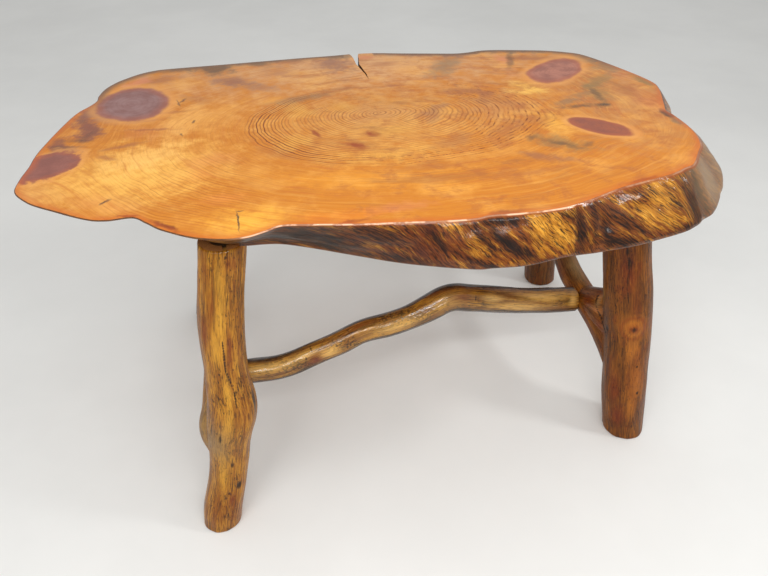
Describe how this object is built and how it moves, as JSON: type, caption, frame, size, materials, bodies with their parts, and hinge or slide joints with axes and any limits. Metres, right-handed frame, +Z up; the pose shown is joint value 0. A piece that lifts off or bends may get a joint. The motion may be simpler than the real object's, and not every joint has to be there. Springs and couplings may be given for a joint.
{
  "type": "rustic slab table",
  "caption": "Rustic live-edge slab table on splayed log legs with natural forked cross braces and a crooked branch stretcher.",
  "frame": {"origin": "on the floor under the middle of the table's bounding box", "axes": "+X along the table's length to its right end, +Y from the front long edge to the back one, +Z up"},
  "size_m": [1.2681, 0.8367, 0.737],
  "materials": {
    "slab_wood": "gloss varnish",
    "log_wood": "gloss varnish",
    "wedge_wood": "bare sawn",
    "peg_wood": "satin varnish"
  },
  "bodies": {
    "root": {"slab_top": "slab_wood", "front_left_leg": "log_wood", "front_right_leg": "log_wood", "back_left_leg": "log_wood", "back_right_leg": "log_wood", "long_stretcher": "log_wood", "leg_tenon_wedges": "wedge_wood", "joint_pegs": "peg_wood"}
  },
  "joints": []
}
